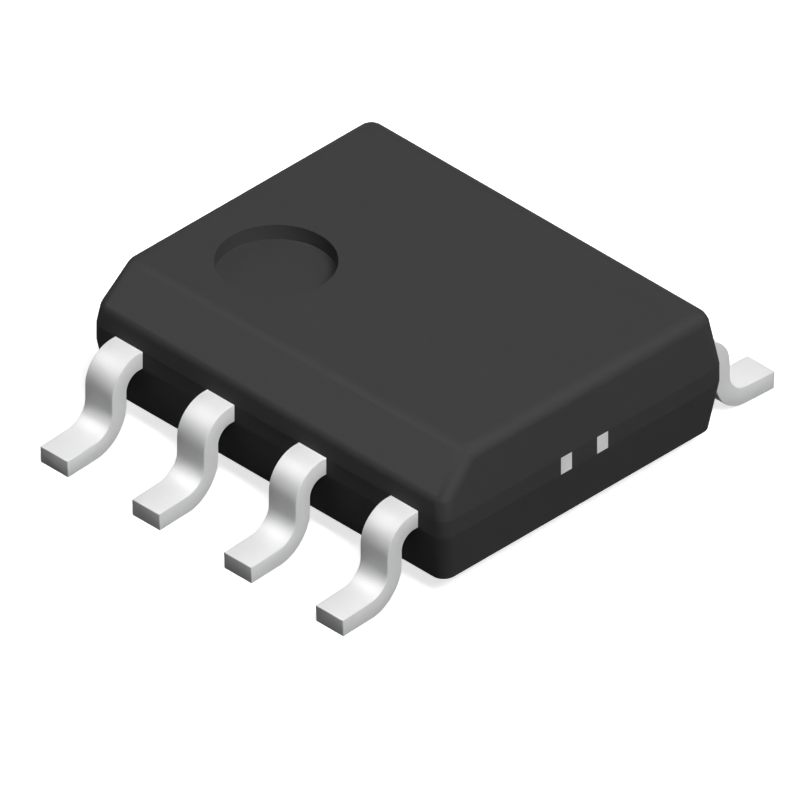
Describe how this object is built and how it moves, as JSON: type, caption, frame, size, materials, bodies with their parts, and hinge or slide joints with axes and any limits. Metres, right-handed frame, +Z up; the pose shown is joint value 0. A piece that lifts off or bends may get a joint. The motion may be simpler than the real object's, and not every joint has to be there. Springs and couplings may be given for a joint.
{
  "type": "soic chip",
  "caption": "Surface-mount integrated circuit: black moulded package with gull-wing leads on two sides, and the die, paddle and bond wires inside.",
  "frame": {"origin": "centre of the package on the plane that the feet stand on", "axes": "+X along the lead rows, away from the pin 1 end; +Y across the package, away from the pin 1 row; +Z up from the board"},
  "size_m": [0.005, 0.006, 0.0016],
  "materials": {
    "moulding_compound": "as moulded, fine matte grain",
    "plated_lead_frame": "matte tin plate on copper alloy",
    "die_adhesive": "cured silver-filled epoxy",
    "silicon": "polished wafer, opaque",
    "gold_wire": "drawn gold wire"
  },
  "bodies": {
    "root": {"body": "moulding_compound", "die_paddle": "plated_lead_frame", "die_attach": "die_adhesive", "die": "silicon", "lead_1": "plated_lead_frame", "lead_2": "plated_lead_frame", "lead_3": "plated_lead_frame", "lead_4": "plated_lead_frame", "lead_5": "plated_lead_frame", "lead_6": "plated_lead_frame", "lead_7": "plated_lead_frame", "lead_8": "plated_lead_frame", "bond_wire_1": "gold_wire", "bond_wire_2": "gold_wire", "bond_wire_3": "gold_wire", "bond_wire_4": "gold_wire", "bond_wire_5": "gold_wire", "bond_wire_6": "gold_wire", "bond_wire_7": "gold_wire", "bond_wire_8": "gold_wire"}
  },
  "joints": []
}
